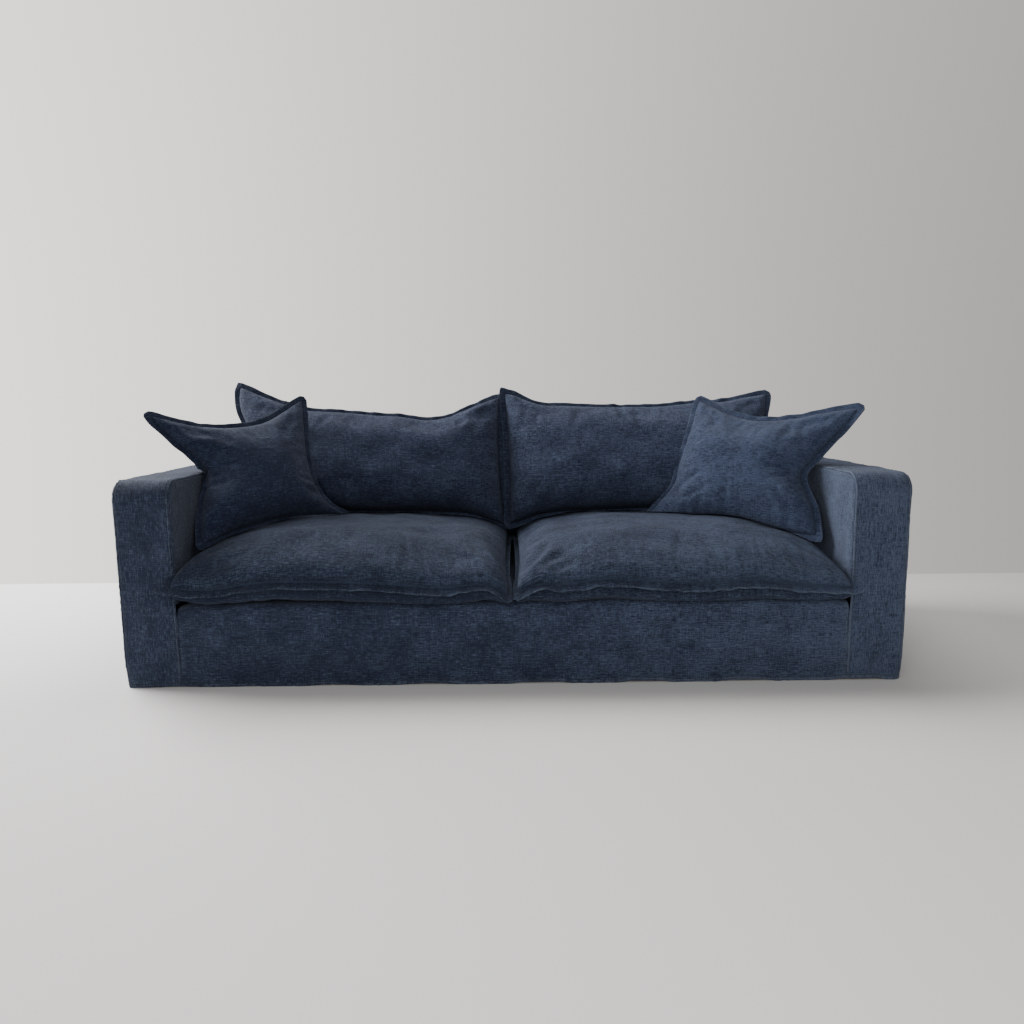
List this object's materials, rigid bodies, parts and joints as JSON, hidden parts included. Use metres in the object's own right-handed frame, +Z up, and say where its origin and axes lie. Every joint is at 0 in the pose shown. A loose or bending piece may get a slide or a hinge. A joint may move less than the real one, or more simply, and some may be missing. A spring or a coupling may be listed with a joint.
{
  "type": "sofa slipcover with matching cushions",
  "caption": "Loose floor-length sofa slipcover in washed blue cloth, sewn from flat panels with broad square arms, with flanged seat, back and scatter cushions in the same cloth.",
  "frame": {"origin": "centre of the bounding box's footprint, on the floor under the hems", "axes": "+X to the right as one faces the sofa's front, +Y from the front to the back, +Z up"},
  "size_m": [2.4198, 1.0556, 0.9442],
  "materials": {
    "cover_cloth": "washed heavy linen weave in mottled denim blue, matt with a faint brushed sheen",
    "seat_cloth": "the same washed blue linen, rubbed a little paler on the crowns",
    "back_cloth": "the same washed blue linen",
    "scatter_cloth": "the same washed blue linen, slightly deeper navy"
  },
  "bodies": {
    "root": {"front_rail": "cover_cloth", "deck": "cover_cloth", "inside_back": "cover_cloth", "back_band": "cover_cloth", "outside_back": "cover_cloth", "arm_band_left": "cover_cloth", "arm_band_right": "cover_cloth", "arm_outside_left": "cover_cloth", "arm_outside_right": "cover_cloth", "arm_inside_left": "cover_cloth", "arm_inside_right": "cover_cloth", "seat_cushion_left": "seat_cloth", "seat_cushion_right": "seat_cloth", "back_cushion_left": "back_cloth", "back_cushion_right": "back_cloth", "scatter_cushion_left": "scatter_cloth", "scatter_cushion_right": "scatter_cloth"}
  },
  "joints": []
}
